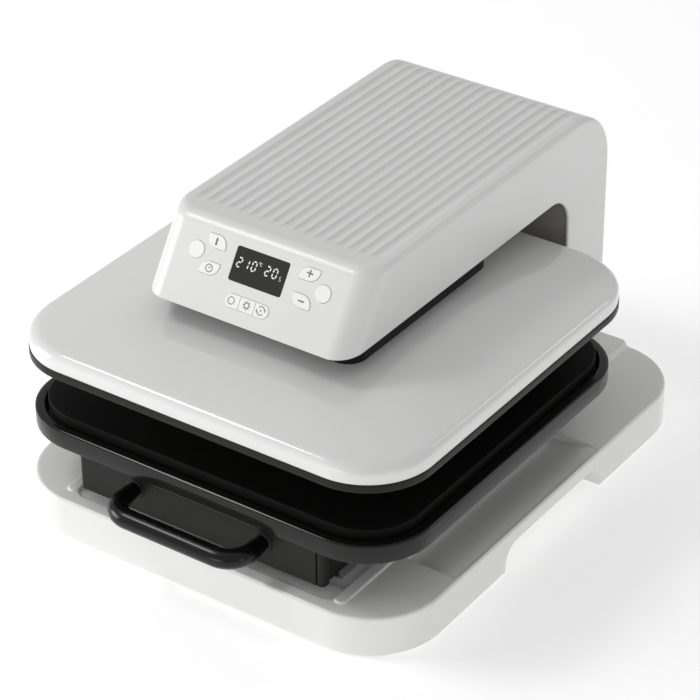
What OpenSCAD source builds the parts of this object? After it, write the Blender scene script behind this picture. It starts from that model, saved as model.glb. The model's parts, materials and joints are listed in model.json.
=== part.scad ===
// Heat press with a slide-out lower tray, a motor-driven upper platen and an overhanging control arm.
// Millimetres. X is the width, Y runs from the handle (front) to the back, Z is up from the feet.

/* [Base] */
// Half of the base width
base_hw = 210.5; // [206:0.5:214]
// Front edge of the base
base_front = -236; // [-240:1:-232]
// Back edge of the base
base_back = 266; // [262:1:267]
// Corner radius of the base in plan
base_r = 70; // [60:1:76]
// Height of the base deck
deck_z = 41; // [40:0.5:42]
// Half width of the drawer channel
channel_hw = 139; // [138:0.5:142]
// Height of the side hand grips
grip_h = 24.5; // [20:0.5:25]

/* [Drawer] */
// Half of the tray width
tray_hw = 203.4; // [200:0.2:206]
// Tray rim height
tray_z = 112.6; // [111:0.2:114]
// Top of the silicone pad
pad_z = 121; // [118:0.5:124]
// Half of the drawer front width
front_hw = 131.5; // [130:0.5:135]
// How far the handle stands out from the drawer front
handle_reach = 47; // [42:1:54]
// Half of the handle width
handle_hw = 77; // [70:1:90]

/* [Platen] */
// Half of the platen width over its black trim
platen_hw = 205; // [200:0.5:206]
// Half of the heated plate, a 381 mm square
plate_hw = 190.5; // [188:0.5:192]
// Lower face of the heated plate
plate_z = 160; // [159:0.5:162]
// Flat top of the white cover
dome_z = 209; // [207:0.5:211]
// Lead of the lifting screw, for the thread shown on it
screw_lead = 8; // [6:1:10]

/* [Arm] */
// Half of the arm width
arm_hw = 108.1; // [107.6:0.1:108.6]
// Top of the arm
arm_z = 293.3; // [292.5:0.1:294]
// Underside of the arm sides
arm_under = 227; // [226:0.5:228]
// Back face of the column
column_back = 270; // [269:0.5:271]
// Slope of the control panel above the horizontal, in degrees
panel_tilt = 56.4; // [55:0.2:58]
// Radius of the rounded upper back edge
back_r = 57; // [54:0.5:57]
// Number of ribs on the top
rib_count = 17; // [9:1:17]
// Spacing of the ribs
rib_pitch = 11.36; // [11:0.02:11.4]

/* [Hidden] */
$fn = 48;
platen_y = -30;
platen_front = platen_y - platen_hw;
platen_back = platen_y + platen_hw;
tray_front = -234;
tray_back = 164;
panel_y = -127.5;
panel_z = 269.2;
crease_r = 6;
rib_depth = 1.8;
edge_r = 4.7;
leaf_hw = 9.6;
leaf_hh = 5.7;
leaf_r = 9.4;
leaf_v = 11.75;
mode_x = -0.8;
mode_v = -31.2;
mode_pitch = 15.6;
mode_hh = 5.9;
mode_end = 0.8;
crease_y = panel_y + (arm_z - panel_z) / tan(panel_tilt) + crease_r * tan(panel_tilt / 2);
panel_top_y = crease_y - crease_r * sin(panel_tilt);
panel_top_z = arm_z - crease_r + crease_r * cos(panel_tilt);
lip_z = 229.7;
lip_y = panel_y + (lip_z - panel_z) / tan(panel_tilt);
column_front = 200;
throat_r = 30;
rod_x = 60;
front_y = -223;
floor_z = 36;
plinth_z = deck_z + 4.5;
handle_z = 73;
motor_y = 236;

// ---- shared shapes ----

// Plan rounded rectangle with separate front and back corner radii
module plan2(hw, yf, yb, rf, rb) {
    polygon([[-hw, yf + rf], [-hw + rf, yf], [hw - rf, yf], [hw, yf + rf],
        [hw, yb - rb], [hw - rb, yb], [-hw + rb, yb], [-hw, yb - rb]]);
    for (s = [-1, 1]) {
        translate([s * (hw - rf), yf + rf]) circle(r = rf);
        translate([s * (hw - rb), yb - rb]) circle(r = rb);
    }
}

// Rounded rectangle slab from z0 to z1
module slab(hw, yf, yb, r, z0, z1) {
    translate([0, 0, z0]) linear_extrude(height = z1 - z0) plan2(hw, yf, yb, r, r);
}

// Box given by its low corner and high corner
module box(a, b) {
    translate(a) cube([b[0] - a[0], b[1] - a[1], b[2] - a[2]]);
}

// Upright cylinder from z0 to z1
module post(x, y, r, z0, z1) {
    translate([x, y, z0]) cylinder(r = r, h = z1 - z0);
}

// Side profile, drawn as (Y, Z), extruded across the width
module across(hw) {
    rotate([90, 0, 90]) translate([0, 0, -hw]) linear_extrude(height = 2 * hw) children();
}

// Places children on the sloping control panel: X across, Y up the slope, Z outward
module on_panel() {
    translate([0, panel_y, panel_z]) rotate([panel_tilt, 0, 0]) children();
}

// ---- base ----

module grip_space(s) {
    x0 = s > 0 ? base_hw - 19 : -base_hw - 5;
    translate([x0, 0, 0]) rotate([90, 0, 90]) linear_extrude(height = 24) {
        translate([-61, -5]) square([159, grip_h - 11]);
        translate([-45, 0]) square([127, grip_h + 2]);
        translate([-45, grip_h - 14]) circle(r = 16);
        translate([82, grip_h - 14]) circle(r = 16);
    }
}

// Sloping recess in the deck, deepest beside the drawer channel
module side_recess() {
    translate([0, 99, 0]) rotate([90, 0, 0]) linear_extrude(height = 235) {
        polygon([[154, deck_z - 9], [201, deck_z - 1.5], [201, deck_z + 4], [154, deck_z + 4]]);
    }
}

module base_shell() {
    color([0.93, 0.93, 0.92]) difference() {
        union() {
            difference() {
                slab(base_hw, base_front, base_back, base_r, 2, deck_z);
                slab(base_hw - 4, base_front + 4, base_back - 4, base_r - 4, 0, deck_z - 3);
            }
            box([-channel_hw - 3, base_front + 5, floor_z - 3], [channel_hw + 3, 198, deck_z - 2]);
            box([-140, 195, deck_z - 1], [140, base_back + 1.6, plinth_z]);
            for (s = [-1, 1]) {
                box([s > 0 ? channel_hw : -channel_hw - 11, -222, deck_z - 1],
                    [s > 0 ? channel_hw + 11 : -channel_hw, 195, deck_z + 2]);
                box([s > 0 ? 151 : -204, -139, deck_z - 13], [s > 0 ? 204 : -151, 102, deck_z - 2]);
                box([s > 0 ? base_hw - 22 : -base_hw + 3, -65, 2], [s > 0 ? base_hw - 3 : -base_hw + 22, 102, 31]);
            }
            for (x = [-160, 160], y = [-170, 130]) post(x, y, 5, 6, deck_z - 2);
            for (x = [-60, 60], y = [-200, 180]) post(x, y, 5, 6, floor_z - 2);
        }
        box([-channel_hw, base_front + 14, floor_z], [channel_hw, 195, deck_z + 6]);
        for (s = [-1, 1]) {
            mirror([s > 0 ? 0 : 1, 0, 0]) side_recess();
            grip_space(s);
        }
        box([-100, 203, 0], [100, 261.5, deck_z + 6]);
    }
}

module base_plate() {
    color([0.55, 0.56, 0.57]) difference() {
        slab(base_hw - 6, base_front + 6, base_back - 6, base_r - 6, 4.5, 6);
        for (s = [-1, 1]) box([s > 0 ? 186 : -212, -68, 4], [s > 0 ? 212 : -186, 105, 7]);
        for (x = [-30 : 15 : 30]) box([x - 2.5, -60, 4], [x + 2.5, 40, 7]);
    }
}

module feet() {
    color([0.07, 0.07, 0.07]) for (x = [-165, 165], y = [-185, 215]) difference() {
        post(x, y, 12, 0, 4.5);
        post(x, y, 4, -1, 2.5);
    }
}

module base_screws() {
    color([0.75, 0.75, 0.77]) {
        for (x = [-160, 160], y = [-170, 130]) post(x, y, 3.5, 2.6, 4.5);
        for (x = [-60, 60], y = [-200, 180]) post(x, y, 3.5, 2.6, 4.5);
    }
}

// ---- drawer slides ----

module slide_brackets() {
    color([0.6, 0.61, 0.63]) for (s = [0, 1]) mirror([s, 0, 0]) {
        box([122.2, -188, floor_z], [124.2, 128, 82]);
        box([98, -188, floor_z], [123, 128, floor_z + 2]);
    }
}

module bracket_screws() {
    color([0.75, 0.75, 0.77]) for (s = [-1, 1], y = [-170, -70, 30, 115]) post(s * 106, y, 4, floor_z + 2, floor_z + 4.5);
}

// Slide member cross-section, web at x1 with flanges back to x0
module rail(x0, x1, t, z0, z1, y0, y1) {
    box([x1 - t, y0, z0], [x1, y1, z1]);
    box([x0, y0, z1 - t], [x1, y1, z1]);
    box([x0, y0, z0], [x1, y1, z0 + t]);
}

module outer_rails() {
    color([0.72, 0.73, 0.75]) for (s = [0, 1]) mirror([s, 0, 0]) rail(113.8, 122.2, 1.6, 54, 82, -190, 130);
}

module middle_rails() {
    color([0.72, 0.73, 0.75]) for (s = [0, 1]) mirror([s, 0, 0]) rail(113.8, 120, 1.4, 56.4, 79.6, -190, 130);
}

module inner_rails() {
    color([0.72, 0.73, 0.75]) for (s = [0, 1]) mirror([s, 0, 0]) {
        box([112, -190, 58.6], [113.4, 130, 77.4]);
        box([112, -190, 76], [118, 130, 77.4]);
        box([112, -190, 58.6], [118, 130, 60]);
    }
}

// ---- drawer ----

module drawer_pan() {
    color([0.13, 0.13, 0.14]) {
        difference() {
            box([-112, -211, 50.6], [112, 145, 90]);
            box([-110, -209, 52.6], [110, 143, 91]);
        }
        for (s = [-1, 1]) box([s > 0 ? 111 : -125.5, -211, 88], [s > 0 ? 125.5 : -111, 145, 90]);
    }
}

module drawer_front() {
    color([0.13, 0.13, 0.14]) {
        difference() {
            slab(front_hw, front_y, front_y + 12, 4, 50.6, 93.8);
            box([-front_hw + 5, front_y + 2.5, 54], [front_hw - 5, front_y + 13, 87]);
        }
        for (s = [0, 1]) mirror([s, 0, 0]) box([125.5, front_y + 12, 50.6], [128, 142, 90]);
    }
}

module tray() {
    color([0.12, 0.12, 0.13]) difference() {
        slab(tray_hw, tray_front, tray_back, 64, 93.8, tray_z);
        slab(tray_hw - 9, tray_front + 9, tray_back - 9, 55, 97.8, tray_z + 2);
    }
}

module lower_platen() {
    color([0.7, 0.71, 0.72]) {
        slab(tray_hw - 12, tray_front + 12, tray_back - 12, 52, 97.8, 109);
    }
}

module tray_support() {
    color([0.5, 0.51, 0.52]) difference() {
        slab(150, -200, 130, 20, 90, 93.8);
        slab(100, -150, 80, 20, 89, 95);
    }
}

module pad() {
    color([0.03, 0.03, 0.03]) slab(tray_hw - 12, tray_front + 12, tray_back - 12, 52, 109, pad_z);
}

module handle() {
    color([0.11, 0.11, 0.12]) translate([0, 0, handle_z - 8]) linear_extrude(height = 16) difference() {
        plan2(handle_hw, front_y - handle_reach, front_y, 28, 1);
        plan2(handle_hw - 17, front_y - handle_reach + 17, front_y + 10, 12, 1);
        translate([-handle_hw - 1, front_y]) square([2 * handle_hw + 2, 20]);
    }
}

module handle_screws() {
    color([0.75, 0.75, 0.77]) for (s = [-1, 1]) {
        translate([s * (handle_hw - 8.5), front_y + 5.5, handle_z]) rotate([90, 0, 0]) cylinder(r = 4, h = 3);
    }
}

// ---- upper platen ----

// Cover profile across X, drawn as (offset from centre, Z), inset by t
module dome_profile(t) {
    w = platen_hw - 0.5 - t;
    polygon([[-w, 170], [w, 170], [w, 186 - t * 0.4], [w - 6, 192 - t], [70, dome_z - t], [-70, dome_z - t],
        [-w + 6, 192 - t], [-w, 186 - t * 0.4]]);
}

module dome_solid(t, z0) {
    intersection() {
        slab(platen_hw - 0.5 - t, platen_front + 0.5 + t, platen_back - 0.5 - t, 64 - t, z0, dome_z + 1);
        translate([0, platen_y + 250, 0]) rotate([90, 0, 0]) linear_extrude(height = 500) dome_profile(t);
        translate([-250, platen_y, 0]) rotate([90, 0, 90]) linear_extrude(height = 500) dome_profile(t);
    }
}

module dome() {
    color([0.93, 0.93, 0.92]) difference() {
        dome_solid(0, 174.4);
        dome_solid(3, 170);
        post(0, platen_y, 31, 190, dome_z + 2);
        for (s = [-1, 1]) post(s * rod_x, platen_y, 8, 190, dome_z + 2);
    }
}

module trim() {
    color([0.11, 0.11, 0.12]) difference() {
        slab(platen_hw, platen_front, platen_back, 64.5, 166.6, 174.4);
        slab(platen_hw - 9, platen_front + 9, platen_back - 9, 55.5, 166, 172);
        slab(platen_hw - 24, platen_front + 24, platen_back - 24, 42, 171, 175);
    }
}

module heater_plate() {
    color([0.2, 0.2, 0.21]) slab(plate_hw, platen_y - plate_hw, platen_y + plate_hw, 50, plate_z, 172);
}

module heating_element() {
    color([0.62, 0.6, 0.57]) difference() {
        slab(150, platen_y - 150, platen_y + 150, 40, 172, 180);
        slab(141, platen_y - 141, platen_y + 141, 31, 171, 181);
    }
}

module insulation() {
    color([0.86, 0.83, 0.74]) difference() {
        slab(172, platen_y - 172, platen_y + 172, 40, 180, 188);
        for (x = [-100, 100], y = [-90, 90]) post(x, platen_y + y, 6.5, 179, 189);
    }
}

module backing_plate() {
    color([0.66, 0.67, 0.68]) slab(120, platen_y - 110, platen_y + 110, 20, 188, 191);
}

module spacers() {
    color([0.75, 0.75, 0.77]) for (x = [-100, 100], y = [-90, 90]) post(x, platen_y + y, 5, 172, 188);
}

module lift_hub() {
    color([0.6, 0.61, 0.62]) {
        post(0, platen_y, 28, 191, dome_z);
        post(0, platen_y, 34, dome_z, dome_z + 3);
        for (s = [-1, 1]) post(s * rod_x, platen_y, 12, 191, 198);
    }
}

module lead_screw() {
    color([0.7, 0.7, 0.72]) {
        post(0, platen_y, 7, dome_z + 3, 283);
        for (z = [214 : screw_lead / 2 : 280]) post(0, platen_y, 8, z, z + 2);
    }
}

module guide_rods() {
    color([0.8, 0.8, 0.82]) for (s = [-1, 1]) post(s * rod_x, platen_y, 6, 198, 283);
}

module thermal_sensor() {
    color([0.85, 0.8, 0.7]) {
        post(40, platen_y + 60, 8, 172, 178);
        box([30, platen_y + 57, 172], [50, platen_y + 63, 174]);
    }
}

// ---- arm and column ----

// Outer side profile of the arm and column
module arm_outline() {
    difference() {
        union() {
            translate([column_front, plinth_z]) square([column_back - column_front, arm_z - plinth_z]);
            translate([crease_y, arm_under]) square([column_back - crease_y, arm_z - arm_under]);
            polygon([[crease_y + 1, arm_z], [crease_y, arm_z], [panel_top_y, panel_top_z], [lip_y, lip_z],
                [lip_y + 4, arm_under], [crease_y + 1, arm_under]]);
            translate([crease_y, arm_z - crease_r]) circle(r = crease_r);
            difference() {
                translate([column_front - throat_r, arm_under - throat_r]) square([throat_r + 1, throat_r + 1]);
                translate([column_front - throat_r, arm_under - throat_r]) circle(r = throat_r);
            }
        }
        difference() {
            translate([column_back - back_r, arm_z - back_r]) square([back_r + 2, back_r + 2]);
            translate([column_back - back_r, arm_z - back_r]) circle(r = back_r);
        }
    }
}

// Space inside the arm and column, open below and at the lower back
module arm_inside() {
    translate([crease_y, 0]) square([column_back - back_r - crease_y, arm_z - 3]);
    translate([column_back - back_r - 1, 0]) square([back_r + 2, arm_z - back_r]);
    translate([column_back - back_r, arm_z - back_r]) circle(r = back_r - 3);
    polygon([[crease_y + 1, arm_z - 3], [crease_y, arm_z - 3], [panel_top_y + 2.5, panel_top_z - 1.7],
        [lip_y + 3.6, lip_z], [lip_y + 7, 200], [crease_y + 1, 200]]);
    translate([crease_y, arm_z - crease_r]) circle(r = crease_r - 3);
}

// Leaf-shaped key: pointed at the lower right and upper left, well rounded at the other two corners
module leaf(grow) {
    hw = leaf_hw + grow;
    hh = leaf_hh + grow;
    r = leaf_r + grow;
    polygon([[-hw, hh], [hw - r, hh], [hw - r, hh - r], [hw, hh - r], [hw, -hh], [r - hw, -hh], [r - hw, r - hh],
        [-hw, r - hh]]);
    for (a = [0, 180]) rotate(a) intersection() {
        translate([hw - r, hh - r]) circle(r = r);
        translate([hw - r, hh - r]) square([r + 1, r + 1]);
    }
}

// Places a leaf at side sx and row sv; every leaf points away from the display's corners
module leaf_at(sx, sv, grow) {
    translate([sx * 48.1, sv * leaf_v]) mirror([sx * sv > 0 ? 1 : 0, 0]) leaf(grow);
}

// Mode key segment: -1 left end, 0 middle, 1 right end
module mode_segment(i, grow) {
    h = mode_hh + grow;
    translate([mode_x + i * mode_pitch, mode_v]) {
        if (i == 0) translate([-7.5 - grow, -h]) square([15 + 2 * grow, 2 * h]);
        if (i != 0) mirror([i > 0 ? 1 : 0, 0]) {
            translate([-mode_end, 0]) circle(r = h);
            translate([-mode_end, -h]) square([mode_end + 7.5 + grow, 2 * h]);
        }
    }
}

module window_outline(grow) {
    plan2(27.15 + grow, -15.05 - grow, 14.95 + grow, 1.9 + grow, 1.9 + grow);
}

module panel_cutouts() {
    translate([0, 0, -9]) linear_extrude(height = 14) {
        window_outline(0.25);
        for (sx = [-1, 1]) {
            translate([sx * 65.9, 0]) circle(r = 7.9);
            for (sv = [-1, 1]) leaf_at(sx, sv, 0.3);
        }
        for (i = [-1 : 1]) mode_segment(i, 0.25);
    }
}

// One groove of the ribbed top, steep on its left and rising slowly to the right
module groove(x) {
    translate([x, column_back - back_r + 3, arm_z]) rotate([90, 0, 0])
        linear_extrude(height = column_back - back_r + 3 - crease_y - 17)
            polygon([[0, 1], [0, 0], [0.9, -rib_depth], [rib_pitch - 1.5, 0], [rib_pitch - 1.5, 1]]);
}

module arm_shell() {
    color([0.92, 0.92, 0.91]) difference() {
        intersection() {
            across(arm_hw) arm_outline();
            translate([0, 0, 40]) linear_extrude(height = 260) plan2(arm_hw, lip_y - 1, column_back, 22, edge_r);
        }
        intersection() {
            across(arm_hw - 3) arm_inside();
            translate([0, 0, -1]) linear_extrude(height = 300) plan2(arm_hw - 3, lip_y + 2, column_back + 20, 19, 4);
        }
        on_panel() panel_cutouts();
        for (i = [0 : rib_count - 1]) groove((i - rib_count / 2) * rib_pitch);
    }
}

module arm_skirt() {
    color([0.09, 0.09, 0.1]) difference() {
        slab(arm_hw - 1.2, -142, 70, 18, 218, 227);
        slab(arm_hw - 4.2, -139, 67, 15, 221, 228);
        post(0, platen_y, 14, 217, 222);
        for (s = [-1, 1]) post(s * rod_x, platen_y, 8, 217, 222);
    }
}

module inner_cover() {
    color([0.2, 0.2, 0.21]) across(arm_hw - 3.3) {
        translate([66, 229]) square([column_front - throat_r - 66, 2.5]);
        translate([column_front + 2, 46]) square([2.5, arm_under - throat_r - 46]);
        translate([column_front - throat_r, arm_under - throat_r]) difference() {
            circle(r = throat_r + 4.5);
            circle(r = throat_r + 2);
            translate([-50, -50]) square([50, 100]);
            translate([-50, -50]) square([100, 50]);
        }
    }
}

module rear_cover() {
    color([0.9, 0.9, 0.89]) difference() {
        box([-arm_hw + 3.3, 264.4, 46], [arm_hw - 3.3, 267, 236]);
        for (z = [150 : 9 : 213]) box([-60, 263, z], [60, 269, z + 3.5]);
        box([-74, 263, 64], [-46.2, 269, 84.2]);
        box([-32, 263, 64], [-12, 269, 84.2]);
    }
}

module rear_screws() {
    color([0.2, 0.2, 0.21]) for (s = [-1, 1], z = [56, 140, 228]) {
        translate([s * 96, 268.6, z]) rotate([90, 0, 0]) cylinder(r = 3.2, h = 1.6);
    }
}

module frame_sides() {
    color([0.62, 0.63, 0.64]) for (s = [-1, 1]) {
        x0 = s > 0 ? 88 : -91;
        box([x0, 208, 6], [x0 + 3, 252, 272]);
        box([x0, -70, 232], [x0 + 3, 209, 272]);
    }
}

module frame_plate() {
    color([0.62, 0.63, 0.64]) difference() {
        union() {
            box([-88, -75, 236], [88, 264, 240]);
            box([-88, 208, 6], [88, 252, 9]);
        }
        post(0, platen_y, 15, 235, 241);
        for (s = [-1, 1]) post(s * rod_x, platen_y, 9, 235, 241);
        post(0, motor_y, 10, 235, 241);
    }
}

module bushings() {
    color([0.75, 0.58, 0.3]) for (s = [-1, 1]) difference() {
        union() {
            post(s * rod_x, platen_y, 9, 232, 256);
            post(s * rod_x, platen_y, 14, 240, 243);
        }
        post(s * rod_x, platen_y, 6.05, 231, 257);
    }
}

module nut_bearing() {
    color([0.78, 0.78, 0.8]) difference() {
        post(0, platen_y, 15, 236, 244);
        post(0, platen_y, 11.05, 235, 245);
    }
}

module nut_pulley() {
    color([0.78, 0.64, 0.3]) difference() {
        union() {
            post(0, platen_y, 11, 236, 246);
            post(0, platen_y, 20, 246, 258);
            post(0, platen_y, 24, 244.4, 246);
            post(0, platen_y, 24, 258, 259.6);
        }
        post(0, platen_y, 8.05, 235, 261);
        for (a = [0 : 90 : 270]) rotate_about(a) post(14.5, platen_y, 2, 243, 261);
    }
}

// Turns children about the lifting screw
module rotate_about(a) {
    translate([0, platen_y, 0]) rotate([0, 0, a]) translate([0, -platen_y, 0]) children();
}

module motor_pulley() {
    color([0.7, 0.71, 0.73]) difference() {
        union() {
            post(0, motor_y, 20, 246, 258);
            post(0, motor_y, 24, 244.4, 246);
            post(0, motor_y, 24, 258, 259.6);
        }
        post(0, motor_y, 4.05, 243, 261);
        post(12, motor_y, 3, 243, 261);
        post(-12, motor_y, 3, 243, 261);
    }
}

module drive_belt() {
    color([0.06, 0.06, 0.06]) translate([0, 0, 247]) linear_extrude(height = 10) difference() {
        plan2(21.7, platen_y - 21.7, motor_y + 21.7, 21.6, 21.6);
        plan2(20.05, platen_y - 20.05, motor_y + 20.05, 20, 20);
    }
}

module motor() {
    color([0.3, 0.31, 0.33]) {
        post(0, motor_y, 25, 150, 226);
        post(0, motor_y, 9, 226, 240);
        post(0, motor_y, 4, 240, 262);
    }
}

// ---- controls ----

module control_board() {
    color([0.05, 0.32, 0.16]) {
        on_panel() box([-80, -42, -12.5], [80, 14, -11]);
        on_panel() for (x = [-66, 66]) box([x - 6, -6, -18], [x + 6, 6, -12]);
        on_panel() box([-25, -38, -18], [-5, -24, -12]);
    }
}

module lcd_module() {
    color([0.25, 0.26, 0.25]) on_panel() box([-31, -18, -11], [31, 14.5, -3.6]);
}

module display_window() {
    color([0.16, 0.16, 0.16]) on_panel() translate([0, 0, -3.2]) linear_extrude(height = 3.3) window_outline(0);
}

module round_key(s) {
    color([0.95, 0.95, 0.94]) on_panel() {
        translate([s * 65.9, 0, -7]) cylinder(r = 7.6, h = 7.6);
    }
}

module leaf_key(sx, sv) {
    color([0.95, 0.95, 0.94]) on_panel() translate([0, 0, -7]) linear_extrude(height = 7.6) leaf_at(sx, sv, 0);
}

module mode_key(i) {
    color([0.95, 0.95, 0.94]) on_panel() translate([0, 0, -7]) linear_extrude(height = 7.6) mode_segment(i, 0);
}

module key_spare_left() {
    round_key(-1);
}

module key_spare_right() {
    round_key(1);
}

module key_temperature() {
    leaf_key(-1, 1);
}

module key_timer() {
    leaf_key(-1, -1);
}

module key_plus() {
    leaf_key(1, 1);
}

module key_minus() {
    leaf_key(1, -1);
}

module key_low() {
    mode_key(-1);
}

module key_high() {
    mode_key(0);
}

module key_auto() {
    mode_key(1);
}

// ---- power entry and electronics ----

module inlet_body() {
    color([0.05, 0.05, 0.05]) difference() {
        union() {
            box([-73.9, 244, 64.1], [-46.3, 268, 84.1]);
            box([-77, 267, 61], [-43.2, 269.4, 87.2]);
        }
        box([-72.4, 248, 66], [-47.8, 271, 82.4]);
    }
}

module inlet_pins() {
    color([0.78, 0.78, 0.76]) {
        box([-61.1, 248, 76], [-59.1, 261, 80]);
        for (x = [-68, -54.1]) box([x, 248, 69], [x + 2, 261, 73]);
    }
}

module switch_body() {
    color([0.05, 0.05, 0.05]) difference() {
        union() {
            box([-31.9, 246, 64.1], [-12.1, 268, 84.1]);
            box([-34, 267, 62], [-10, 268.8, 86.2]);
        }
        box([-30, 252, 66], [-14, 271, 82.2]);
    }
}

module power_rocker() {
    color([0.45, 0.06, 0.05]) translate([-22, 263, 74.1]) rotate([-8, 0, 0]) {
        translate([-7.6, 0, 0]) rotate([0, 90, 0]) cylinder(r = 4, h = 15.2);
        box([-7.6, 0, -7], [7.6, 5.4, 7]);
    }
}

module power_board() {
    color([0.05, 0.32, 0.16]) {
        box([-88, 212, 104], [-86.4, 258, 200]);
        box([-86.4, 216, 150], [-72, 230, 164]);
        box([-86.4, 236, 150], [-74, 254, 190]);
    }
}

module transformer() {
    color([0.75, 0.6, 0.2]) {
        box([30, 214, 9], [80, 256, 57]);
        box([36, 210, 17], [74, 259, 49]);
    }
}

base_shell();
base_plate();
feet();
base_screws();
slide_brackets();
bracket_screws();
outer_rails();
middle_rails();
inner_rails();
drawer_pan();
drawer_front();
tray();
tray_support();
lower_platen();
pad();
handle();
handle_screws();
dome();
trim();
heater_plate();
heating_element();
insulation();
backing_plate();
spacers();
lift_hub();
lead_screw();
guide_rods();
thermal_sensor();
arm_shell();
arm_skirt();
inner_cover();
rear_cover();
rear_screws();
frame_sides();
frame_plate();
bushings();
nut_bearing();
nut_pulley();
motor_pulley();
drive_belt();
motor();
control_board();
lcd_module();
display_window();
key_spare_left();
key_spare_right();
key_temperature();
key_timer();
key_plus();
key_minus();
key_low();
key_high();
key_auto();
inlet_body();
inlet_pins();
switch_body();
power_rocker();
power_board();
transformer();
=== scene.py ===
import json
import math

import bpy
import numpy as np
from mathutils import Euler, Matrix, Vector


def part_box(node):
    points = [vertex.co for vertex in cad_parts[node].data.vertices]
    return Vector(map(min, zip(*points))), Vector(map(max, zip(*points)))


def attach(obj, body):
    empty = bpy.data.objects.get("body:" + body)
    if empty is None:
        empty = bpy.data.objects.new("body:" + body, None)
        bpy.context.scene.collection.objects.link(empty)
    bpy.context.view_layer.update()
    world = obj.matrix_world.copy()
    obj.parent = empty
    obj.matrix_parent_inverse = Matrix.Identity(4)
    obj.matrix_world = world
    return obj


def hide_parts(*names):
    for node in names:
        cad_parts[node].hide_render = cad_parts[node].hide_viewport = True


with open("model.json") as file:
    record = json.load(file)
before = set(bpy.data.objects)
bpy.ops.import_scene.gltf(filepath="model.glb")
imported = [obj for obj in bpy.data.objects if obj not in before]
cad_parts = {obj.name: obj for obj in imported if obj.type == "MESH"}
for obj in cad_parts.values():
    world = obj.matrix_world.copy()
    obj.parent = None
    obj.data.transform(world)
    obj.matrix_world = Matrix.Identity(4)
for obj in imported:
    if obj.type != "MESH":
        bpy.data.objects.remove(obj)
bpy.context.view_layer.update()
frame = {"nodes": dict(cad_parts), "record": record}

MM = 0.001
NODES = frame["nodes"]

# ---------------------------------------------------------------- driving sizes, in millimetres


def node_box(name):
    """Low and high corner of a CAD node in millimetres."""
    low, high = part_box(name)
    return [c / MM for c in low], [c / MM for c in high]


BASE_LOW, BASE_HIGH = node_box("base_shell")
BASE_HW = BASE_HIGH[0]
BASE_FRONT, BASE_BACK = BASE_LOW[1], 266.0
BASE_R = 70.0
DECK_Z = 41.0
FLOOR_Z = 36.0
CHANNEL_HW = 139.0
CHANNEL_FRONT = BASE_FRONT + 14
CHANNEL_BACK = 195.0
PLINTH_HW = 140.0
PLINTH_Z = BASE_HIGH[2]
BAR_X, BAR_HW = 144.5, 5.5
RECESS_X, RECESS_HW, RECESS_DEPTH = 180.0, 27.0, 9.0
RECESS_FRONT, RECESS_BACK = -136.0, 99.0
GRIP_Y, GRIP_HL, GRIP_TOP = 18.5, 79.5, 26.5

TRAY_LOW, TRAY_HIGH = node_box("tray")
TRAY_HW = TRAY_HIGH[0]
TRAY_Y = (TRAY_LOW[1] + TRAY_HIGH[1]) / 2
TRAY_HL = (TRAY_HIGH[1] - TRAY_LOW[1]) / 2
TRAY_R = 64.0
PAD_TOP = node_box("pad")[1][2]
PAD_BOTTOM = node_box("pad")[0][2]
PAD_INSET = 12.0

FRONT_LOW, FRONT_HIGH = node_box("drawer_front")
FRONT_HW, FRONT_Y = FRONT_HIGH[0], FRONT_LOW[1]
HANDLE_LOW, HANDLE_HIGH = node_box("handle")
HANDLE_Z = (HANDLE_LOW[2] + HANDLE_HIGH[2]) / 2

TRIM_LOW, TRIM_HIGH = node_box("trim")
PLATEN_HW = TRIM_HIGH[0]
PLATEN_Y = (TRIM_LOW[1] + TRIM_HIGH[1]) / 2
PLATEN_R = 64.5
DOME_TOP = node_box("dome")[1][2]

ARM_LOW, ARM_HIGH = node_box("arm_shell")
ARM_HW, ARM_TOP, COLUMN_BACK = ARM_HIGH[0], ARM_HIGH[2], ARM_HIGH[1]
ARM_UNDER = 227.0
COLUMN_FRONT = 200.0
THROAT_R = 30.0
BACK_R = 57.0
CREASE_R = 7.0
PANEL_CORNER_R = 22.0
EDGE_R = 4.75
PANEL_Y, PANEL_Z = -127.5, 269.2
PANEL_TILT = math.radians(56.4)
RIB_COUNT = 17
RIB_PITCH = 11.36
RIB_LEFT = -96.1
RIB_FRONT, RIB_BACK = -93.0, 236.0

# ---------------------------------------------------------------- materials


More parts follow.
